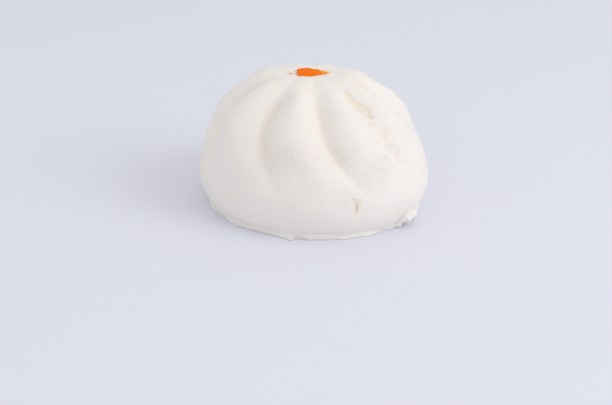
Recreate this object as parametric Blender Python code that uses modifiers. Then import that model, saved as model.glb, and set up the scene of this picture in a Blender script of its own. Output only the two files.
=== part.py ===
"""A steamed bun of white wheat dough, pinched into ten pleats round an open pucker, with an orange dot in it.

+Z is up and the front is towards -Y. An azimuth is measured in degrees from the front towards +X. The bun
stands on its flat base at z = 0, with the middle of its outline on the Z axis.
"""
import math

import bpy
import bmesh

# Driving dimensions, in metres.
BUN_WIDTH = 0.0840
BUN_HEIGHT = 0.0496
BASE_WIDTH = 0.0756
WIDEST_HEIGHT = 0.0126
BASE_EDGE = 0.0006
LEAN = 0.00136
TOP_LEAN = 0.0020

# The dome is (r / R) ** DOME_SIDE + (z / h) ** DOME_RISE = 1, and the skirt below it curves by SKIRT_CURVE.
DOME_SIDE = 2.88
DOME_RISE = 1.58
SKIRT_CURVE = 2.08

# The pucker is a shallow crater: a floor of the inner radius, and a wall up to the outer radius.
PUCKER_DEPTH = 0.0010
PUCKER_FLOOR = 0.0050
PUCKER_RIM = 0.0075
PUCKER_ROWS = 6

# The dot is a lens that lies in the pucker, as wide as this many of the pucker's rows.
DOT_ROWS = 4
DOT_RADIUS = PUCKER_RIM * DOT_ROWS / PUCKER_ROWS
DOT_CROWN = 0.0005
GAP = 0.0003

# One row for each pleat: the azimuth of the fold that it rises from, at half height, how far that fold turns
# towards the pucker and towards the base, all in degrees, and how deep the fold is, in metres.
PLEATS = (
    (-78.0, 4.0, 7.0, 0.0030),
    (-32.5, -2.0, 13.0, 0.0039),
    (7.0, 0.0, 17.5, 0.0040),
    (47.5, -8.0, 12.0, 0.0029),
    (81.0, -10.0, 30.0, 0.0026),
    (116.0, -20.0, 18.0, 0.0020),
    (152.0, -12.0, 16.0, 0.0033),
    (189.0, -9.0, 20.0, 0.0032),
    (224.0, -3.0, 17.0, 0.0032),
    (254.0, 6.0, 10.0, 0.0020),
)

# Across a pleat, from its own fold (0) to the next one (1): the columns of the mesh, the share over which the
# dough rises out of the fold, and the share over which its rounded edge drops into the next fold.
PLEAT_COLUMNS = (0.0, 0.05, 0.13, 0.24, 0.38, 0.55, 0.72, 0.84, 0.91, 0.96)
RISE_SHARE = 0.55
EDGE_SHARE = 0.16

# Down the bun, as angles from the top in degrees: beyond the pucker's rim, where a fold has the azimuth of its
# row above, the shoulder, and where the folds start, are faint, deepen, are deep, get shallow and end.
RIM_ANGLE = 13.0
MIDDLE_ANGLE = 45.0
SHOULDER_ANGLE = 50.0
FOLD_START = 11.0
FOLD_FAINT = 17.0
FOLD_HOLLOW = 21.0
FOLD_DEEP = 33.0
FOLD_FADING = 58.0
FOLD_END = 87.0
FAINT_SHARE = 0.15

# How finely the profile is stepped.
COLUMNS = len(PLEATS) * len(PLEAT_COLUMNS)
DOME_ROWS = 18
SKIRT_ROWS = 5
DOT_COLUMNS = 50

DOUGH_COLOUR = (0.89, 0.85, 0.81, 1.0)
DOUGH_ROUGHNESS = 0.55
DOT_COLOUR = (0.96, 0.19, 0.01, 1.0)
DOT_ROUGHNESS = 0.35


def eased(low, high, value):
    """Return 0 below low, 1 above high, and a smooth step between them."""
    share = min(max((value - low) / (high - low), 0.0), 1.0)
    return share * share * (3.0 - 2.0 * share)


def dome_height(radius):
    """Return the height of the dome at a radius, without its pucker."""
    rise = BUN_HEIGHT - WIDEST_HEIGHT
    share = 2.0 * radius / BUN_WIDTH
    return WIDEST_HEIGHT + rise * (1.0 - share ** DOME_SIDE) ** (1.0 / DOME_RISE)


def top_height(radius):
    """Return the height of the dough round the top, down into the pucker."""
    return dome_height(radius) - PUCKER_DEPTH * (1.0 - eased(PUCKER_FLOOR, PUCKER_RIM, radius))


def skirt_radius(height):
    """Return the radius of the side below the widest height, tucked in towards the base."""
    tuck = 0.5 * (BUN_WIDTH - BASE_WIDTH)
    return 0.5 * BUN_WIDTH - tuck * (1.0 - height / WIDEST_HEIGHT) ** SKIRT_CURVE


def bun_profile():
    """Return the outline from the pucker's floor down the outside to the middle of the base."""
    points = []
    for step in range(PUCKER_ROWS):
        radius = PUCKER_RIM * step / PUCKER_ROWS
        points.append((radius, top_height(radius)))
    first = math.asin((2.0 * PUCKER_RIM / BUN_WIDTH) ** (0.5 * DOME_SIDE))
    for step in range(DOME_ROWS):
        angle = first + (0.5 * math.pi - first) * step / DOME_ROWS
        radius = 0.5 * BUN_WIDTH * math.sin(angle) ** (2.0 / DOME_SIDE)
        points.append((radius, top_height(radius)))
    for step in range(SKIRT_ROWS + 1):
        height = WIDEST_HEIGHT + (BASE_EDGE - WIDEST_HEIGHT) * step / SKIRT_ROWS
        points.append((skirt_radius(height), height))
    points.append((skirt_radius(BASE_EDGE) - BASE_EDGE, 0.0))
    points.append((0.0, 0.0))
    return points


def dot_profile():
    """Return the outline of the dot: a low crown, then an underside that keeps a gap to the pucker."""
    rim = top_height(DOT_RADIUS) + GAP
    points = []
    for step in range(DOT_ROWS):
        radius = DOT_RADIUS * step / DOT_ROWS
        points.append((radius, rim + DOT_CROWN * (1.0 - (radius / DOT_RADIUS) ** 2)))
    for step in range(DOT_ROWS + 1):
        radius = DOT_RADIUS * (1.0 - step / DOT_ROWS)
        points.append((radius, top_height(radius) + GAP))
    return points


def turned_mesh(name, profile, columns):
    """Turn a profile round the Z axis with a Screw modifier and return the closed mesh that it makes."""
    line = bpy.data.meshes.new(name + "_profile")
    edges = [(index, index + 1) for index in range(len(profile) - 1)]
    line.from_pydata([(radius, 0.0, height) for radius, height in profile], edges, [])
    turning = bpy.data.objects.new(name + "_profile", line)
    bpy.context.scene.collection.objects.link(turning)
    screw = turning.modifiers.new("turn", "SCREW")
    screw.steps = columns
    screw.render_steps = columns
    screw.use_merge_vertices = True
    screw.merge_threshold = 0.00001
    graph = bpy.context.evaluated_depsgraph_get()
    mesh = bpy.data.meshes.new_from_object(turning.evaluated_get(graph))
    mesh.name = name
    bpy.data.objects.remove(turning)
    bpy.data.meshes.remove(line)
    return mesh


def angle_from_top(radius, height):
    """Return the angle in degrees between the top and a point of the side, seen from the widest level."""
    across = 2.0 * radius / BUN_WIDTH
    along = (height - WIDEST_HEIGHT) / (BUN_HEIGHT - WIDEST_HEIGHT)
    return math.degrees(math.atan2(across, along))


def lean(angle):
    """Return how far the dough has sagged towards -X at an angle from the top: the pucker sits off the middle."""
    shoulder = LEAN * math.sin(2.0 * math.radians(min(max(angle, RIM_ANGLE), 90.0)))
    return shoulder + TOP_LEAN * (1.0 - eased(RIM_ANGLE, SHOULDER_ANGLE, angle))


def fold_azimuth(number, angle):
    """Return the azimuth of a fold in degrees where it passes an angle from the top."""
    azimuth, upper_turn, lower_turn, _ = PLEATS[number % len(PLEATS)]
    azimuth += 360.0 * (number // len(PLEATS))
    upper = min(max((MIDDLE_ANGLE - angle) / 20.0, 0.0), 1.6)
    lower = min(max((angle - MIDDLE_ANGLE) / 35.0, 0.0), 1.5)
    return azimuth + upper_turn * upper ** 1.5 + lower_turn * lower ** 1.3


def fold_depth(number, angle):
    """Return the depth of a fold where it passes an angle from the top."""
    depth = PLEATS[number % len(PLEATS)][3]
    grown = FAINT_SHARE * eased(FOLD_START, FOLD_FAINT, angle)
    grown += (1.0 - FAINT_SHARE) * eased(FOLD_HOLLOW, FOLD_DEEP, angle)
    return depth * grown * (1.0 - eased(FOLD_FADING, FOLD_END, angle))


def pleated_place(radius, height, column):
    """Return where a point of the turned shape lies once its column follows the pleats."""
    number, place = divmod(column, len(PLEAT_COLUMNS))
    share = PLEAT_COLUMNS[place]
    angle = angle_from_top(radius, height)
    start = fold_azimuth(number, angle)
    azimuth = math.radians(start + share * (fold_azimuth(number + 1, angle) - start))
    rise = max(1.0 - share / RISE_SHARE, 0.0) ** 2
    edge = max((share - 1.0 + EDGE_SHARE) / EDGE_SHARE, 0.0)
    drop = 1.0 - math.sqrt(1.0 - edge * edge)
    depth = fold_depth(number, angle) * rise + fold_depth(number + 1, angle) * drop
    radius -= depth * math.sin(math.radians(angle))
    height -= depth * math.cos(math.radians(angle))
    return (radius * math.sin(azimuth) - lean(angle), -radius * math.cos(azimuth), height)


def material(name, colour, roughness, subsurface):
    """Return a Principled material."""
    made = bpy.data.materials.new(name)
    made.use_nodes = True
    shader = made.node_tree.nodes["Principled BSDF"]
    shader.inputs["Base Color"].default_value = colour
    shader.inputs["Roughness"].default_value = roughness
    shader.inputs["Metallic"].default_value = 0.0
    shader.inputs["Subsurface Weight"].default_value = subsurface
    return made


def make_bun(collection):
    """Turn the bun, then press its ten pleats into it."""
    mesh = turned_mesh("bun", bun_profile(), COLUMNS)
    for vertex in mesh.vertices:
        x, y, z = vertex.co
        radius = math.hypot(x, y)
        column = round(math.atan2(y, x) / (2.0 * math.pi) * COLUMNS) % COLUMNS
        vertex.co = pleated_place(radius, z, column)
    return finish(mesh, material("steamed_dough", DOUGH_COLOUR, DOUGH_ROUGHNESS, 0.3), collection)


def make_dot(collection):
    """Turn the orange dot that lies in the pucker."""
    mesh = turned_mesh("orange_dot", dot_profile(), DOT_COLUMNS)
    for vertex in mesh.vertices:
        vertex.co.x -= lean(0.0)
    return finish(mesh, material("orange_paste", DOT_COLOUR, DOT_ROUGHNESS, 0.1), collection)


def finish(mesh, look, collection):
    """Close the mesh's poles, shade it smooth and return it as an object in the collection."""
    shape = bmesh.new()
    shape.from_mesh(mesh)
    bmesh.ops.remove_doubles(shape, verts=shape.verts, dist=0.000005)
    bmesh.ops.recalc_face_normals(shape, faces=shape.faces)
    shape.to_mesh(mesh)
    shape.free()
    mesh.shade_smooth()
    mesh.materials.clear()
    mesh.materials.append(look)
    made = bpy.data.objects.new(mesh.name, mesh)
    collection.objects.link(made)
    return made


def centre(bun, others):
    """Move the meshes so that the middle of the bun's outline is over the origin."""
    across = [vertex.co.x for vertex in bun.data.vertices]
    along = [vertex.co.y for vertex in bun.data.vertices]
    middle_x = 0.5 * (min(across) + max(across))
    middle_y = 0.5 * (min(along) + max(along))
    for piece in (bun, *others):
        for vertex in piece.data.vertices:
            vertex.co.x -= middle_x
            vertex.co.y -= middle_y


def main():
    for old in list(bpy.data.objects):
        bpy.data.objects.remove(old)
    collection = bpy.data.collections.new("steamed_bun")
    bpy.context.scene.collection.children.link(collection)
    bun = make_bun(collection)
    dot = make_dot(collection)
    centre(bun, (dot,))


main()
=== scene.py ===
import math

import bpy
import numpy as np
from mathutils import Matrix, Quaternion, Vector


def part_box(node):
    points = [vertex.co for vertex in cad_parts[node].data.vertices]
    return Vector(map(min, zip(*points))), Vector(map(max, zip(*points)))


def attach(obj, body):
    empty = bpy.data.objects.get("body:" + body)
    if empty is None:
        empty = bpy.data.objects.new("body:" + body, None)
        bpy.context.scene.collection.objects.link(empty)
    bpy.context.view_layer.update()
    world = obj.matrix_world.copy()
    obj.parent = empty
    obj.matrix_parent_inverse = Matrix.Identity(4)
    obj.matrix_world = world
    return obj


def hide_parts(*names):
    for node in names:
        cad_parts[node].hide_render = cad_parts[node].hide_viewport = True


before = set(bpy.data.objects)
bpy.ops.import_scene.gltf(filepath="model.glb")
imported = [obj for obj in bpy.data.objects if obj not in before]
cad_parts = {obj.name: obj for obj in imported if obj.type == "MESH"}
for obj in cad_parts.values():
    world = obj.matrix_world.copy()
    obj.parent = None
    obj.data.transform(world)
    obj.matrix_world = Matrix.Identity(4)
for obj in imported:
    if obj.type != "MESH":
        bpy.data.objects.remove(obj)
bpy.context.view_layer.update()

scene = bpy.context.scene

cadLow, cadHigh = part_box("bun")
cadMiddle = 0.5 * np.array(cadLow[:2]) + 0.5 * np.array(cadHigh[:2])
print("CAD bun", round(1000.0 * (cadHigh.x - cadLow.x), 1), "mm wide")


# a step from 0 to 1: x = clip((value - low) / (high - low), 0, 1), then x x (3 - 2 x)
def eased(low, high, value):
    x = np.clip((value - low) / (high - low), 0.0, 1.0)
    return x * x * (3.0 - 2.0 * x)


# a rise over the span's first two values times a fall over its last two
def between(span, value):
    return eased(span[0], span[1], value) * (1.0 - eased(span[2], span[3], value))


# a bump of height 1: exp(-((value - middle) / width)^2)
def hill(middle, width, value):
    return np.exp(-((value - middle) / width) ** 2)


# smooth noise of about -1 to 1: a sum of sin(k . p + phase), with k = 2 pi / size in random directions
def ripple(points, size, seed, waves=14):
    rng = np.random.default_rng(seed)
    total = np.zeros(points.shape[:-1])
    for _ in range(waves):
        way = rng.normal(size=3)
        way *= 2.0 * math.pi / (size * rng.uniform(0.7, 1.6) * np.linalg.norm(way))
        total += np.sin(points @ way + rng.uniform(0.0, 2.0 * math.pi))
    return total * math.sqrt(2.0 / waves)


# noise that closes round the bun: a sum of w sin(n a + phase) for whole n from lowest to highest
def roundRipple(around, lowest, highest, seed):
    rng = np.random.default_rng(seed)
    total = np.zeros_like(around)
    for turns in range(lowest, highest + 1):
        total += rng.uniform(0.5, 1.3) * np.sin(turns * around + rng.uniform(0.0, 2.0 * math.pi))
    return total * math.sqrt(2.0 / (highest - lowest + 1))


# places along 0 to length that crowd where density(place) is high: equal steps of its running integral
def crowded(count, length, density):
    fine = np.linspace(0.0, length, 8000)
    running = np.concatenate([[0.0], np.cumsum(0.5 * (density(fine)[1:] + density(fine)[:-1]))])
    return np.interp(np.arange(count) / count * running[-1], running, fine)


# a closed mesh: rings of points from the top down, each closing round, and one point at each pole
def closedMesh(name, rings, top, bottom):
    rows, columns = rings.shape[:2]
    points = np.concatenate([[top], rings.reshape(-1, 3), [bottom]])
    here = np.arange(columns)
    after = (here + 1) % columns
    last = len(points) - 1
    cap = np.stack([0 * here, 1 + here, 1 + after], -1)
    base = np.stack([0 * here + last, last - columns + after, last - columns + here], -1)
    row = 1 + columns * np.arange(rows - 1)[:, None]
    below = row + columns
    quads = np.stack([row + here, below + here, below + after, row + after], -1).reshape(-1, 4)
    corners = np.concatenate([cap.ravel(), base.ravel(), quads.ravel()])
    starts = np.concatenate([3 * np.arange(2 * columns), 6 * columns + 4 * np.arange(len(quads))])
    mesh = bpy.data.meshes.new(name)
    mesh.vertices.add(len(points))
    mesh.vertices.foreach_set("co", points.astype(np.float32).ravel())
    mesh.loops.add(len(corners))
    mesh.loops.foreach_set("vertex_index", corners.astype(np.int32))
    mesh.polygons.add(len(starts))
    mesh.polygons.foreach_set("loop_start", starts.astype(np.int32))
    mesh.update(calc_edges=True)
    mesh.validate()
    mesh.shade_smooth()
    return mesh


# one number for each point, which a material reads by its name; a pole takes the mean of the ring beside it
def paint(mesh, name, rings):
    values = np.concatenate([[rings[0].mean()], rings.ravel(), [rings[-1].mean()]])
    mesh.attributes.new(name, "FLOAT", "POINT").data.foreach_set("value", values.astype(np.float32))


# a finished piece at the origin, on the one body, in place of a CAD node
def show(name, mesh, material, node):
    made = bpy.data.objects.new(name, mesh)
    scene.collection.objects.link(made)
    mesh.materials.append(material)
    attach(made, "root")
    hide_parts(node)
    print(name, len(mesh.polygons), "faces")


# an sRGB hex colour as linear red, green, blue, alpha: c / 12.92, or ((c + 0.055) / 1.055)^2.4 above 0.04045
def colour(code):
    parts = [int(code[at:at + 2], 16) / 255.0 for at in (1, 3, 5)]
    linear = [part / 12.92 if part <= 0.04045 else ((part + 0.055) / 1.055) ** 2.4 for part in parts]
    return (*linear, 1.0)


# a node with its settings, and its inputs given as values or as the sockets to link from
def addNode(tree, kind, inputs=None, **settings):
    node = tree.nodes.new(kind)
    for name, value in settings.items():
        setattr(node, name, value)
    for name, value in (inputs or {}).items():
        if isinstance(value, bpy.types.NodeSocket):
            tree.links.new(value, node.inputs[name])
        else:
            node.inputs[name].default_value = value
    return node


# a material with these values set on its shader's own sockets
def newMaterial(name, values):
    made = bpy.data.materials.new(name)
    made.use_nodes = True
    shader = made.node_tree.nodes["Principled BSDF"]
    for socket, value in values.items():
        shader.inputs[socket].default_value = value
    return made, made.node_tree, shader


# Lengths are in millimetres and angles in degrees. An angle is from the top, seen from the middle of the
# widest level, and an azimuth is from the front towards +X. A Span of two is where a step starts and ends,
# and one of four is for between().
bun = {
    "shape": {
        "radius": 42.0, "domeHeight": 49.6, "baseRadius": 37.8, "widestHeight": 12.6,
        "domeSide": 2.88, "domeRise": 1.58, "skirtCurve": 2.08,  # powers: higher is squarer
        "rounding": 5.0,  # length of outline over which dome and skirt are blended
        "skirtEnd": 0.5, "footRound": 0.35,  # how high the skirt ends, and the next ring as a share of that
        "shoulderLean": 1.36, "topLean": 2.0, "leanSpan": (13.0, 50.0),
        "puckerDepth": 0.6, "puckerFloor": 5.0, "puckerRim": 7.5,
        "puckerSquash": 0.14, "squashSpan": (12.0, 32.0),  # the pucker is narrower from front to back
        "swellings": [(0.28, 34.0, 3), (0.10, 13.0, 4), (0.035, 5.0, 5)],  # height, size, seed
        "swellingSpan": (8.0, 20.0),
    },
    "mesh": {
        "rows": 230, "columns": 392, "footRows": 22,
        "footCrowding": (9.0, 1.0, 1.4),  # rows: from here above the base, to here, how much denser
        "pleatCrowding": [(0.93, 0.09, 1.4), (0.0, 0.06, 1.2)],  # columns: a hill over each pleat, how dense
        "markCrowding": [  # the same over one place round the bun, counted in pleats
            (0.88, 0.035, 8.0), (1.79, 0.045, 9.0), (2.54, 0.07, 5.0),
            (3.05, 0.16, 2.0), (4.0, 0.035, 6.0), (5.0, 0.03, 4.0),
        ],
    },
    "folds": [  # one for each pleat: its values are named in foldValues, below
        (-78.0, 9.0, 7.0, 2.7, 2.2, 0.25, 60.0, 1.6),
        (-33.5, 3.0, 13.5, 3.9, 2.8, 0.0, 60.0, 1.4),
        (7.0, -1.5, 17.5, 3.7, 2.4, 0.0, 60.0, 1.4),
        (47.5, -8.0, 12.0, 2.8, 1.8, 0.0, 60.0, 1.4),
        (81.0, -10.0, 30.0, 1.5, 0.8, 1.3, 40.0, 1.4),
        (116.0, -20.0, 18.0, 1.0, 0.8, 0.8, 40.0, 0.5),
        (152.0, -12.0, 16.0, 3.3, 2.4, 0.1, 60.0, 1.4),
        (189.0, -9.0, 20.0, 3.2, 2.4, 0.1, 60.0, 1.4),
        (224.0, -3.0, 17.0, 3.2, 2.2, 0.1, 60.0, 1.2),
        (254.0, 6.0, 10.0, 1.8, 1.8, 0.2, 56.0, 1.1),
    ],
    "pleat": {
        "turnFrom": 45.0, "upperTurn": (20.0, 1.6, 1.5), "lowerTurn": (35.0, 1.5, 1.3),  # span, most, power
        # a fold is faint first, then deep, and fades over this many degrees
        "faintShare": 0.22, "faintSpan": (11.0, 17.0), "deepSpan": (21.0, 36.0), "fade": 29.0,
        "fullDepth": 4.0,  # what counts as fully deep, for the overhang and the painted fold shade
        # how wide the climb out of a fold and the shoulder down into the next are, and the most that each may
        # take of the pleat; sag is the shoulder's share of the drop, and the edge has the rest
        "slope": 4.2, "slopeShare": 0.30, "climbSpan": (0.45, 1.0),
        "shoulder": 8.5, "shoulderShare": 0.40, "sag": 0.6, "dropSpan": (0.0, 0.5),
        "edgeShare": 0.13, "edgeGain": 0.03, "edgeSpan": (26.0, 44.0),
        "overhang": 0.3, "crease": 0.9, "creaseSpan": (16.0, 24.0, 58.0, 72.0),
        "crownFrom": 0.1, "crownWide": 0.85, "crownSpan": (18.0, 31.0, 50.0, 80.0),
        "collar": 0.8, "collarSpan": (12.0, 17.0, 20.0, 32.0),  # a ring of raised dough round the pucker
    },
    "foot": {
        "lip": 0.8, "height": 1.9, "curve": 2.0, "groove": 0.3, "grooveWidth": 0.8,
        "lipWaves": 0.55, "lipRagged": 0.25,
        "tip": 4.2, "tipSpan": (-17.0, -10.0, -8.6), "tipCurve": 1.6,  # azimuths: start, point, end
        "tuck": 1.0, "tuckSpan": (50.0, 58.0, 68.0, 80.0),
        "flap": 3.0, "flapRagged": 0.35, "flapLevel": (0.9, 2.1, 2.8, 6.8), "levelRagged": 0.4,
        "flapStart": (0.3, 1.6), "flapGain": (3.0, 8.0), "flapEnd": (11.0, 17.0),  # degrees past the split
        "splitAt": 48.6, "splitSlant": 0.72, "splitDeep": 1.2, "splitWidth": 0.8,
        "splitLevel": (0.5, 3.0, 5.5, 9.0),
    },
    "marks": {
        "nickAt": 21.0, "nickHeight": 13.6, "nickDeep": 0.45, "scrapHigh": 0.85,
        # strokes of the nick: strength, degrees to the right, slant, width, mm below its middle, half length
        "slit": (1.0, 0.45, 0.25, 0.9, 0.3, 2.3), "secondSlit": (0.6, 2.1, 0.18, 0.5, -0.9, 1.5),
        "scrap": (1.0, 0.3, 0.0, 1.1, -3.0, 0.9), "scrapRidge": (0.5, 1.2, 0.0, 0.35, 0.2, 1.6),
        "tearFold": 3,  # the number of the fold that the torn patches lie beside
        "tearDeep": 0.28, "pitDeep": 0.65, "pit": (41.5, 1.2, 3.6, 1.3),
        "upperTear": {"middle": 34.0, "half": 8.8, "from": 22.0, "past": 3.0, "slant": 0.04, "wide": 3.4,
                      "widens": 3.2, "ragged": 0.22, "outer": 1.15, "inner": 0.55, "strength": 1.0},
        "lowerTear": {"middle": 54.0, "half": 4.2, "from": 54.0, "past": 4.0, "slant": 0.8, "wide": 3.6,
                      "widens": 0.0, "ragged": 0.25, "outer": 1.1, "inner": 0.3, "strength": 0.7},
        "wrinkleHigh": 0.2,
        "slack": [  # where the skin is wrinkled: strength, hill of angles, hill of azimuths
            (1.0, 66.0, 15.0, 42.0, 13.0), (0.5, 66.0, 15.0, 5.0, 22.0),
            (2.0, 46.0, 6.0, 46.0, 6.0), (1.6, 64.0, 7.0, 56.0, 9.0),
        ],
    },
    "skin": {
        "white": "#f3eeea", "shade": "#eee8e1",
        # the fold colour on the next line is painted shade for the folds and creases; the tear and smear
        # colours are the dough's own
        "foldShadeColour": "#efe5da", "inTear": "#eddcc3", "smeared": "#f6bf86",
        "roughness": 0.55, "translucent": 0.3, "bleed": 2.0,  # how far light spreads inside
        "cloud": 9.0, "pore": 0.9, "poreDeep": 0.9, "poreStrength": 0.8,
        "grain": 1.8, "grainDeep": 0.12, "grainStrength": 0.35,
        # painted shade: how strongly the folds, by their depth, and their sharp creases are coloured darker
        # cream
        "foldShading": 0.65, "foldShadingSpan": (0.35, 1.0), "creaseShading": 0.7,
        "tearTint": 0.5, "tearMottle": 0.12, "pitTint": 0.3, "nickTint": 0.8,
        "smears": [(1.0, -7.0, 1.5, -3.2, 1.1), (0.7, 6.0, 1.2, 0.4, 1.0)],  # strength, hills of x and y
        "poreAngle": (71.5, 15.0), "poreAzimuth": (8.0, 34.0), "poreLeast": 0.12,
    },
}
# where a fold lies at 45 degrees, its turns towards the pucker and towards the base, how deep it is, how wide
# the neighbour's edge over it is, how deep its sharp crease is, where it fades, how far its pleat swells
foldValues = ["azimuth", "upperTurn", "lowerTurn", "depth", "edge", "crease", "fadeFrom", "crown"]
folds = np.array(bun["folds"])
shape = bun["shape"]
pleat = bun["pleat"]
foot = bun["foot"]
marks = bun["marks"]
skin = bun["skin"]
mm = (cadHigh.x - cadLow.x) / (2.0 * shape["radius"])  # a millimetre of this bun, in metres


# z = w + (H - w) (1 - (r/R)^p)^(1/q), less the pucker's depth (1 - eased(floor, rim, r))
def topHeight(radius):
    rise = shape["domeHeight"] - shape["widestHeight"]
    share = 1.0 - (radius / shape["radius"]) ** shape["domeSide"]
    dome = shape["widestHeight"] + rise * share ** (1.0 / shape["domeRise"])
    return dome - shape["puckerDepth"] * (1.0 - eased(shape["puckerFloor"], shape["puckerRim"], radius))


# the turned outline: the pucker, the dome r = R sin(t)^(2/p), and the skirt r = R - (R - base) (1 - z/w)^c
def outline():
    inner = np.linspace(0.0, shape["puckerRim"], 60)[:-1]
    first = math.asin((shape["puckerRim"] / shape["radius"]) ** (0.5 * shape["domeSide"]))
    outer = shape["radius"] * np.sin(np.linspace(first, 0.5 * math.pi, 400)) ** (2.0 / shape["domeSide"])
    outer = np.minimum(outer, shape["radius"])
    height = np.linspace(shape["widestHeight"], shape["skirtEnd"], 120)[1:]
    tuck = shape["radius"] - shape["baseRadius"]
    side = shape["radius"] - tuck * (1.0 - height / shape["widestHeight"]) ** shape["skirtCurve"]
    return np.concatenate([inner, outer, side]), np.concatenate([topHeight(inner), topHeight(outer), height])


# the outline's radius near the widest level, drawn towards its running mean: r + exp(-(d/5)^2) (mean - r)
def rounded(length, radius):
    step = 0.1
    even = np.arange(0.0, length[-1], step)
    window = np.hanning(round(shape["rounding"] / step) + 2)
    mean = np.convolve(np.interp(even, length, radius), window[1:-1] / window.sum(), "same")
    near = hill(length[np.argmax(radius)], shape["rounding"], length)
    return radius + near * (np.interp(length, even, mean) - radius)


# rows down the outline: radius, height, outward direction, and angle = atan2(r / R, (z - w) / (H - w))
def outlineRows():
    radius, height = outline()
    length = np.concatenate([[0.0], np.cumsum(np.hypot(np.diff(radius), np.diff(height)))])
    radius = rounded(length, radius)
    start, end, extra = bun["mesh"]["footCrowding"]
    ends = length[-1]
    rows = crowded(bun["mesh"]["rows"], ends, lambda at: 1.0 + extra * eased(ends - start, ends - end, at))
    rows = np.append(rows[1:], ends)
    radius = np.interp(rows, length, radius)
    height = np.interp(rows, length, height)
    slope = np.hypot(np.gradient(radius, rows), np.gradient(height, rows))
    outR = -np.gradient(height, rows) / slope
    outZ = np.gradient(radius, rows) / slope
    rise = (height - shape["widestHeight"]) / (shape["domeHeight"] - shape["widestHeight"])
    angle = np.degrees(np.arctan2(radius / shape["radius"], rise))
    return [values[:, None] for values in (radius, height, outR, outZ, angle)]


# how far the dough leans to -X: s sin(2 angle), and t more round the pucker
def lean(angle):
    start, end = shape["leanSpan"]
    shoulder = shape["shoulderLean"] * np.sin(2.0 * np.radians(np.clip(angle, start, 90.0)))
    return shoulder + shape["topLean"] * (1.0 - eased(start, end, angle))


# one value of the folds with these numbers, which count on round the bun
def foldValue(name, number):
    return folds[number % len(folds), foldValues.index(name)]


# a = a0 + upper clip((45 - angle)/20, 0, 1.6)^1.5 + lower clip((angle - 45)/35, 0, 1.5)^1.3
def foldAzimuth(number, angle):
    down = angle - pleat["turnFrom"]
    span, most, power = pleat["upperTurn"]
    high = np.clip(-down / span, 0.0, most) ** power
    span, most, power = pleat["lowerTurn"]
    low = np.clip(down / span, 0.0, most) ** power
    azimuth = foldValue("azimuth", number) + 360.0 * (number // len(folds))
    return azimuth + foldValue("upperTurn", number) * high + foldValue("lowerTurn", number) * low


# depth (f eased(faint) + (1 - f) eased(deep)) (1 - eased(fade)): faint beside the pucker, gone above the base
def foldDepth(number, angle):
    grown = pleat["faintShare"] * eased(*pleat["faintSpan"], angle)
    grown = grown + (1.0 - pleat["faintShare"]) * eased(*pleat["deepSpan"], angle)
    fading = foldValue("fadeFrom", number)
    return foldValue("depth", number) * grown * (1.0 - eased(fading, fading + pleat["fade"], angle))


# columns crowd at each pleat's edge and fold, and at the marks: 1 + a sum of hills
def columnDensity(place):
    density = np.ones_like(place)
    for middle, width, extra in bun["mesh"]["pleatCrowding"]:
        density = density + extra * hill(middle, width, place % 1.0)
    for middle, width, extra in bun["mesh"]["markCrowding"]:
        density = density + extra * hill(middle, width, place)
    return density


# across a pleat, by the way from its two folds: out of its own fold 1/(1 + (d/w)^2), then down into the next,
# (1 - s) exp(-(d/e)^2) + s exp(-(d/f)^2), each brought to nothing at the far side; gives how deep the fold
# is, how much of that is a sharp crease, how far the skin sinks in all, and how far the edge hangs over
def pleated(number, share, angle, radius):
    wide = radius * np.radians(foldAzimuth(number + 1, angle) - foldAzimuth(number, angle))
    slope = np.minimum(pleat["slope"], pleat["slopeShare"] * wide)
    edgeShare = pleat["edgeShare"] + pleat["edgeGain"] * eased(*pleat["edgeSpan"], angle)
    edge = np.minimum(foldValue("edge", number + 1), edgeShare * wide)
    shoulder = np.minimum(pleat["shoulder"], pleat["shoulderShare"] * wide)
    climb = (1.0 - eased(*pleat["climbSpan"], share)) / (1.0 + (share * wide / slope) ** 2)
    left = (1.0 - share) * wide
    drop = (1.0 - pleat["sag"]) * hill(0.0, edge, left) + pleat["sag"] * hill(0.0, shoulder, left)
    drop = drop * eased(*pleat["dropSpan"], share)
    deepNext = foldDepth(number + 1, angle)
    crease = foldValue("crease", number + np.round(share).astype(int))
    crease = crease * hill(0.0, pleat["crease"], np.minimum(share * wide, left))
    shown = between(pleat["creaseSpan"], angle)
    depth = foldDepth(number, angle) * climb + deepNext * drop + crease * shown
    crown = np.sin(math.pi * np.clip((share - pleat["crownFrom"]) / pleat["crownWide"], 0.0, 1.0)) ** 2
    crown = crown * foldValue("crown", number) * between(pleat["crownSpan"], angle)
    sunk = depth - crown - pleat["collar"] * between(pleat["collarSpan"], angle)
    over = pleat["overhang"] * deepNext / pleat["fullDepth"] * hill(1.3 * edge, edge, left)
    return depth, np.clip(crease, 0.0, 1.0) * shown, sunk, over


# dough that rose unevenly: a sum of height ripple(size), brought to zero in the pucker
def unevenness(points, angle):
    swelling = sum(height * ripple(points, size, seed) for height, size, seed in shape["swellings"])
    return swelling * eased(*shape["swellingSpan"], angle)


# how far the foot's edge reaches out: a lip of 1 + waves, a pointed tip, and a part tucked in under the flap
def footReach(azimuth):
    around = np.radians(azimuth)
    waves = foot["lipWaves"] * roundRipple(around, 5, 23, 7)
    waves = waves + foot["lipRagged"] * roundRipple(around, 30, 70, 8)
    start, point, end = foot["tipSpan"]
    tip = np.clip((azimuth - start) / (point - start), 0.0, 1.0) ** foot["tipCurve"]
    tip = tip * (1.0 - eased(point, end, azimuth))
    tucked = between(foot["tuckSpan"], azimuth)
    reach = foot["lip"] * (1.0 + waves) * (1.0 - tucked) + foot["tip"] * tip - foot["tuck"] * tucked
    return np.maximum(reach, -0.1)


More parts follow.
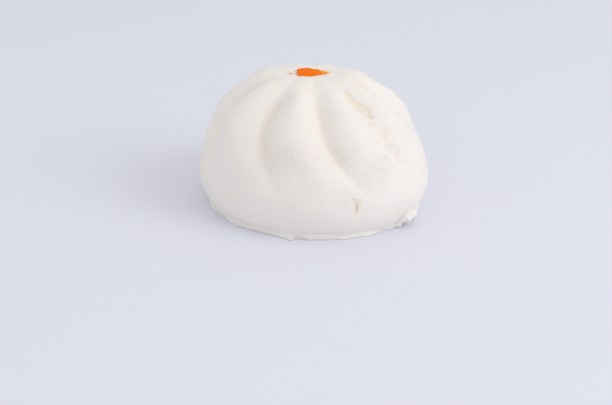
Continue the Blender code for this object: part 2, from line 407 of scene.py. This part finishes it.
# beside a slanted split, a ragged flap of skin stands out just above the base, undercut below
def flapReach(azimuth, height):
    past = azimuth - foot["splitAt"] - foot["splitSlant"] * height
    rough = roundRipple(np.radians(azimuth), 30, 80, 9)
    along = eased(*foot["flapStart"], past) * (1.0 - eased(*foot["flapEnd"], past))
    along = along * (0.55 + 0.45 * eased(*foot["flapGain"], past))
    shelf = between(foot["flapLevel"], height + foot["levelRagged"] * rough)
    split = hill(0.0, foot["splitWidth"], past) * between(foot["splitLevel"], height)
    return (foot["flap"] + foot["flapRagged"] * rough) * along * shelf - foot["splitDeep"] * split


# out at the foot: reach (1 - z/h)^c, less a groove over the lip, plus the flap
def footShape(azimuth, height):
    flare = np.clip(1.0 - height / foot["height"], 0.0, 1.0) ** foot["curve"]
    groove = foot["groove"] * hill(foot["height"] + 0.3, foot["grooveWidth"], height)
    groove = groove * (1.0 + 0.5 * roundRipple(np.radians(azimuth), 4, 15, 12))
    return flare * footReach(azimuth) - groove + flapReach(azimuth, height)


# 0 to 1 over a ragged patch: eased(outer, inner, u^2 + v^2 + noise), with u down the fold and v across it,
# where it widens over its first 20 degrees
def patch(tear, wander, angle, past):
    down = angle - tear["from"]
    wide = tear["wide"] + tear["widens"] * np.clip(down / 20.0, 0.0, 1.0)
    far = ((angle - tear["middle"]) / tear["half"]) ** 2
    far = far + ((past - tear["past"] + tear["slant"] * down) / wide) ** 2 + tear["ragged"] * wander
    return tear["strength"] * eased(tear["outer"], tear["inner"], far)


# two patches just past one fold, where the skin has pulled away, and a pit at the end of the upper one
def tornSkin(points, angle, azimuth):
    past = azimuth - foldAzimuth(marks["tearFold"], angle)
    wander = ripple(points, 4.5, 11) + 0.9 * ripple(points, 1.8, 13)
    upper = patch(marks["upperTear"], wander, angle, past)
    lower = patch(marks["lowerTear"], wander, angle, past)
    level, high, aside, wide = marks["pit"]
    return np.maximum(upper, lower), hill(level, high, angle) * hill(aside, wide, past)


# fine wrinkles, ridges 1 - |noise| a couple of millimetres apart, where the skin is slack
def wrinkles(points, angle, azimuth):
    ridge = 1.0 - np.abs(ripple(points, 3.4, 41) + 0.4 * ripple(points, 1.7, 42))
    slack = sum(strength * hill(level, high, angle) * hill(aside, wide, azimuth)
                for strength, level, high, aside, wide in marks["slack"])
    return marks["wrinkleHigh"] * ridge * slack


# strength exp(-((across - a + slant down) / width)^2) exp(-((down - b) / length)^2)
def stroke(name, across, down):
    strength, aside, slant, wide, level, length = marks[name]
    return strength * hill(aside - slant * down, wide, across) * hill(level, length, down)


# the underside, from the last ring inwards: a small round edge, then flat to the middle
def underside(edgeRing):
    rows = bun["mesh"]["footRows"]
    inward = np.concatenate([[0.002, 0.0075], np.linspace(0.02, 0.96, rows)])[:, None, None]
    lift = np.concatenate([[shape["footRound"]], np.zeros(rows + 1)])[:, None, None]
    return edgeRing * (np.array([1.0, 1.0, 0.0]) * (1.0 - inward) + np.array([0.0, 0.0, 1.0]) * lift)


# the dough: the turned outline, moved along its outward direction by swellings, pleats and marks, and out at
# the foot, then set over the CAD bun with the same middle and the same height
def makeBun():
    radius, height, outR, outZ, angle = outlineRows()
    place = crowded(bun["mesh"]["columns"], float(len(folds)), columnDensity)[None, :]
    number = np.floor(place).astype(int)
    share = place - number
    azimuth = foldAzimuth(number, angle)
    azimuth = azimuth + share * (foldAzimuth(number + 1, angle) - azimuth)
    depth, creased, sunk, over = pleated(number, share, angle, radius)
    azimuth = azimuth + np.degrees(over / np.maximum(radius, 8.0))  # at most as far as it turns at 8 mm

    turn = np.radians(azimuth)
    flat = 0.0 * turn
    outward = np.stack([outR * np.sin(turn), -outR * np.cos(turn), outZ + flat], -1)
    sideways = np.stack([np.sin(turn), -np.cos(turn), flat], -1)
    squash = 1.0 - shape["puckerSquash"] * (1.0 - eased(*shape["squashSpan"], angle))
    turned = [radius * np.sin(turn) - lean(angle), -radius * np.cos(turn) * squash, height + flat]
    rings = np.stack(turned, -1)
    plain = rings + (unevenness(rings, angle) - sunk)[..., None] * outward
    rings = plain + footShape(azimuth, height)[..., None] * sideways

    across = azimuth - marks["nickAt"]
    down = marks["nickHeight"] - height
    slit = stroke("slit", across, down)
    second = stroke("secondSlit", across, down)
    lifted = stroke("scrap", across, down) + stroke("scrapRidge", across, down)
    torn, pit = tornSkin(rings, angle, azimuth)
    marked = marks["scrapHigh"] * lifted - marks["nickDeep"] * (slit + second)
    marked = marked - marks["pitDeep"] * pit - marks["tearDeep"] * torn + wrinkles(plain, angle, azimuth)
    rings = rings + marked[..., None] * outward
    rings = np.concatenate([rings, underside(rings[-1])])

    low = plain.reshape(-1, 3).min(0)
    high = plain.reshape(-1, 3).max(0)
    shift = cadMiddle / mm - 0.5 * (low[:2] + high[:2])
    tall = (cadHigh.z - cadLow.z) / mm / high[2]
    rings = (rings + np.append(shift, 0.0)) * np.array([1.0, 1.0, tall])
    pole = np.array([shift[0] - lean(0.0), shift[1], topHeight(0.0) * tall])
    base = np.array([shift[0], shift[1], 0.0])
    mesh = closedMesh("bun_dough", rings * mm, pole * mm, base * mm)

    tail = np.zeros((len(rings) - len(plain), rings.shape[1]))
    # painted shade: darker cream the deeper the fold, and along its sharp crease
    foldShaded = skin["foldShading"] * eased(*skin["foldShadingSpan"], depth / pleat["fullDepth"])
    foldShaded = np.maximum(foldShaded, skin["creaseShading"] * creased)
    torn = torn * (skin["tearTint"] + skin["tearMottle"] * ripple(plain, 3.0, 51)) + skin["pitTint"] * pit
    torn = np.maximum(torn, skin["nickTint"] * np.clip(1.3 * slit + second, 0.0, 1.0))
    smear = sum(strength * hill(x, wide, rings[..., 0] - pole[0]) * hill(y, deep, rings[..., 1])
                for strength, x, wide, y, deep in skin["smears"])
    around = (azimuth + 180.0) % 360.0 - 180.0
    porous = hill(*skin["poreAngle"], angle) * (skin["poreLeast"] + hill(*skin["poreAzimuth"], around))
    porous = porous * (0.75 + 0.35 * ripple(plain, 18.0, 21))
    # the first of these layers is painted shade in the folds and creases
    paint(mesh, "foldShade", np.concatenate([foldShaded, tail]))
    paint(mesh, "torn", np.concatenate([torn, tail]))
    paint(mesh, "stain", np.clip(smear * (rings[..., 2] > 40.0), 0.0, 1.0))  # above 40 mm: round the dot only
    paint(mesh, "stipple", np.concatenate([np.clip(porous, 0.0, 1.0), tail + 0.2]))
    return mesh, pole


# wheat dough steamed until its skin sets: white, matt and a little translucent, so that light bleeds softly
# into its shadows, with painted shade of darker cream in its folds and creases, cream where it tears,
# and finely pored where it has stretched
def steamedDough():
    material, tree, shader = newMaterial("steamedDough", {
        "Roughness": skin["roughness"], "IOR": 1.42, "Subsurface Weight": skin["translucent"],
        "Subsurface Radius": (1.0, 0.75, 0.5), "Subsurface Scale": skin["bleed"] * mm,
    })
    place = addNode(tree, "ShaderNodeTexCoord").outputs["Object"]
    # the first of these is painted shade in the folds and creases
    foldShade = addNode(tree, "ShaderNodeAttribute", attribute_name="foldShade").outputs["Fac"]
    torn = addNode(tree, "ShaderNodeAttribute", attribute_name="torn").outputs["Fac"]
    stain = addNode(tree, "ShaderNodeAttribute", attribute_name="stain").outputs["Fac"]
    stipple = addNode(tree, "ShaderNodeAttribute", attribute_name="stipple").outputs["Fac"]

    cloud = addNode(tree, "ShaderNodeTexNoise", {
        "Vector": place, "Scale": 1.0 / (skin["cloud"] * mm), "Detail": 3.0,
    })
    white = addNode(tree, "ShaderNodeMix", {
        0: cloud.outputs["Fac"], 6: colour(skin["white"]), 7: colour(skin["shade"]),
    }, data_type="RGBA")
    # painted shade in the folds and creases
    foldShaded = addNode(tree, "ShaderNodeMix", {
        0: foldShade, 6: white.outputs[2], 7: colour(skin["foldShadeColour"]),
    }, data_type="RGBA")
    crumb = addNode(tree, "ShaderNodeMix", {
        0: torn, 6: foldShaded.outputs[2], 7: colour(skin["inTear"]),
    }, data_type="RGBA")
    smeared = addNode(tree, "ShaderNodeMix", {
        0: stain, 6: crumb.outputs[2], 7: colour(skin["smeared"]),
    }, data_type="RGBA")
    tree.links.new(smeared.outputs[2], shader.inputs["Base Color"])

    # a fine grain all over, and pores on the stretched lower skin
    grain = addNode(tree, "ShaderNodeTexNoise", {
        "Vector": place, "Scale": 1.0 / (skin["grain"] * mm), "Detail": 4.0,
    })
    grainBump = addNode(tree, "ShaderNodeBump", {
        "Strength": skin["grainStrength"], "Distance": skin["grainDeep"] * mm, "Height": grain.outputs["Fac"],
    })
    pores = addNode(tree, "ShaderNodeTexNoise", {
        "Vector": place, "Scale": 1.0 / (skin["pore"] * mm), "Detail": 2.0,
    })
    opened = addNode(tree, "ShaderNodeMath", {0: pores.outputs["Fac"], 1: stipple}, operation="MULTIPLY")
    poreBump = addNode(tree, "ShaderNodeBump", {
        "Strength": skin["poreStrength"], "Distance": skin["poreDeep"] * mm, "Height": opened.outputs[0],
        "Normal": grainBump.outputs[0],
    })
    tree.links.new(poreBump.outputs[0], shader.inputs["Normal"])
    return material


doughMesh, pole = makeBun()
show("bun_dough", doughMesh, steamedDough(), "bun")


# the dot of colouring: millimetres from the pucker's middle, and directions in radians from +X towards +Y
dot = {
    "left": 5.1, "right": 4.4, "deep": 3.8, "blunt": 3.6, "tapered": 1.5,
    "tail": 1.7, "tailHill": (0.2, 0.2),
    "corner": 2.2, "cornerHill": (4.02, 0.3), "front": 1.0, "frontHill": (5.3, 0.45),
    "middleX": 0.1, "middleY": -0.4, "level": -0.05, "crown": 0.2, "sink": 0.5,
    "ragged": 0.10, "wavy": 0.06, "rings": 26, "columns": 160,
    "orange": "#ff7d00", "deeper": "#fc7200", "thin": "#ffb24a", "cloud": 2.5, "bump": 0.15,
    "roughness": 0.6, "shine": 0.05, "translucent": 0.1, "bleed": 0.6,
}


# outline r(t) = (|cos t / a|^n + |sin t / b|^n)^(-1/n), blunt towards -X and drawn out to a tail towards +X,
# with one corner drawn out and the front trimmed; a crown k (1 - s^4) over it, and the pucker's shape below
def makeDot(pole):
    around = np.linspace(0.0, 2.0 * math.pi, dot["columns"], endpoint=False)[None, :]
    rightward = eased(-0.5, 0.9, np.cos(around))
    long = dot["left"] + (dot["right"] - dot["left"]) * rightward
    power = dot["blunt"] + (dot["tapered"] - dot["blunt"]) * rightward
    rim = np.abs(np.cos(around) / long) ** power + np.abs(np.sin(around) / dot["deep"]) ** power
    rim = rim ** (-1.0 / power)
    tailAt, tailWide = dot["tailHill"]
    past = (around - tailAt + math.pi) % (2.0 * math.pi) - math.pi
    rim = rim + dot["tail"] * hill(0.0, tailWide, past) + dot["corner"] * hill(*dot["cornerHill"], around)
    rim = rim - dot["front"] * hill(*dot["frontHill"], around)
    rim = rim + dot["ragged"] * roundRipple(around, 3, 9, 31)
    share = np.linspace(0.0, 1.0, dot["rings"] + 1)[1:, None]
    level = topHeight(shape["puckerRim"]) + dot["level"]
    middle = pole + np.array([dot["middleX"], dot["middleY"], 0.0])
    lifted = level + dot["crown"] * (1.0 - share ** 4) + dot["wavy"] * roundRipple(around, 2, 6, 32) * share
    above = np.stack([share * rim * np.cos(around), share * rim * np.sin(around), lifted], -1)
    back = share[::-1][1:]
    sunk = topHeight(back * rim) - dot["sink"]
    below = np.stack([back * rim * np.cos(around), back * rim * np.sin(around), sunk], -1)
    rings = np.concatenate([above, below]) + middle * np.array([1.0, 1.0, 0.0])
    peak = np.array([middle[0], middle[1], level + dot["crown"]])
    floor = np.array([middle[0], middle[1], topHeight(0.0) - dot["sink"]])
    mesh = closedMesh("orange_dab", rings * mm, peak * mm, floor * mm)
    tail = hill(0.0, 0.5, past) * eased(0.5, 0.95, share * rim / dot["left"])
    paint(mesh, "thin", np.concatenate([tail, 0.0 * back * rim]))
    return mesh


# coloured paste, moist and smooth: a strong orange with a soft shine, paler where its tail thins out
def orangePaste():
    material, tree, shader = newMaterial("orangePaste", {
        "Roughness": dot["roughness"], "IOR": 1.4, "Specular IOR Level": dot["shine"],
        "Subsurface Weight": dot["translucent"], "Subsurface Radius": (1.0, 0.35, 0.05),
        "Subsurface Scale": dot["bleed"] * mm,
    })
    place = addNode(tree, "ShaderNodeTexCoord").outputs["Object"]
    thin = addNode(tree, "ShaderNodeAttribute", attribute_name="thin").outputs["Fac"]
    cloud = addNode(tree, "ShaderNodeTexNoise", {
        "Vector": place, "Scale": 1.0 / (dot["cloud"] * mm), "Detail": 3.0,
    })
    body = addNode(tree, "ShaderNodeMix", {
        0: cloud.outputs["Fac"], 6: colour(dot["orange"]), 7: colour(dot["deeper"]),
    }, data_type="RGBA")
    edge = addNode(tree, "ShaderNodeMix", {
        0: thin, 6: body.outputs[2], 7: colour(dot["thin"]),
    }, data_type="RGBA")
    tree.links.new(edge.outputs[2], shader.inputs["Base Color"])
    bump = addNode(tree, "ShaderNodeBump", {
        "Strength": 0.4, "Distance": dot["bump"] * mm, "Height": cloud.outputs["Fac"],
    })
    tree.links.new(bump.outputs[0], shader.inputs["Normal"])
    return material


show("orange_dab", makeDot(pole), orangePaste(), "orange_dot")


stage = {
    "size": 6.0, "floor": "#e4e6f1", "air": 0.78, "airColour": "#ffffff",
    "aim": 0.4,  # share of the bun's height that the lamps point at
    "lamps": [  # name, place and size in metres, power in watts
        ("window", (0.8, -0.36, 0.6), 0.7, 3.3),
        ("fill", (-0.7, -0.6, 0.22), 0.6, 0.42),
    ],
}


# a matt painted board, pale, cool and even; even white air; and square lamps that face the bun
def makeStage():
    bpy.ops.mesh.primitive_plane_add(size=stage["size"])
    floor = bpy.context.object
    floor.name = "floor"
    board = newMaterial("paintedBoard", {"Roughness": 0.8, "Base Color": colour(stage["floor"])})[0]
    floor.data.materials.append(board)
    world = bpy.data.worlds.new("studio")
    scene.world = world
    world.use_nodes = True
    air = world.node_tree.nodes["Background"]
    air.inputs["Color"].default_value = colour(stage["airColour"])
    air.inputs["Strength"].default_value = stage["air"]
    aim = Vector((0.0, 0.0, stage["aim"] * cadHigh.z))
    for name, place, size, power in stage["lamps"]:
        lamp = bpy.data.lights.new(name, "AREA")
        lamp.energy = power
        lamp.size = size
        made = bpy.data.objects.new(name, lamp)
        made.location = place
        made.rotation_euler = (aim - Vector(place)).to_track_quat("-Z", "Y").to_euler()
        scene.collection.objects.link(made)
    print("floor, air and", len(stage["lamps"]), "lamps")


# degrees down and rolled, lens and sensor in mm, then in mm of the bun the distance and the base's place
camera = {
    "elevation": 22.0, "roll": 2.67, "lens": 85.0, "sensor": 36.0,
    "distance": 536.7, "right": 2.27, "up": 1.26,
}


# back = (0, -cos e, sin e); the camera stands at distance back, less right and up along its own axes
def makeCamera():
    tilt = math.radians(camera["elevation"])
    back = Vector((0.0, -math.cos(tilt), math.sin(tilt)))
    turned = (-back).to_track_quat("-Z", "Y") @ Quaternion((0.0, 0.0, 1.0), math.radians(camera["roll"]))
    made = bpy.data.objects.new("camera", bpy.data.cameras.new("camera"))
    made.data.lens = camera["lens"]
    made.data.sensor_width = camera["sensor"]
    made.rotation_mode = "QUATERNION"
    made.rotation_quaternion = turned
    aside = turned @ Vector((camera["right"], camera["up"], 0.0))
    made.location = (back * camera["distance"] - aside) * mm
    scene.collection.objects.link(made)
    scene.camera = made
    scene.view_settings.view_transform = "Standard"
    print("camera at", round(camera["distance"]), "mm")


makeStage()
makeCamera()
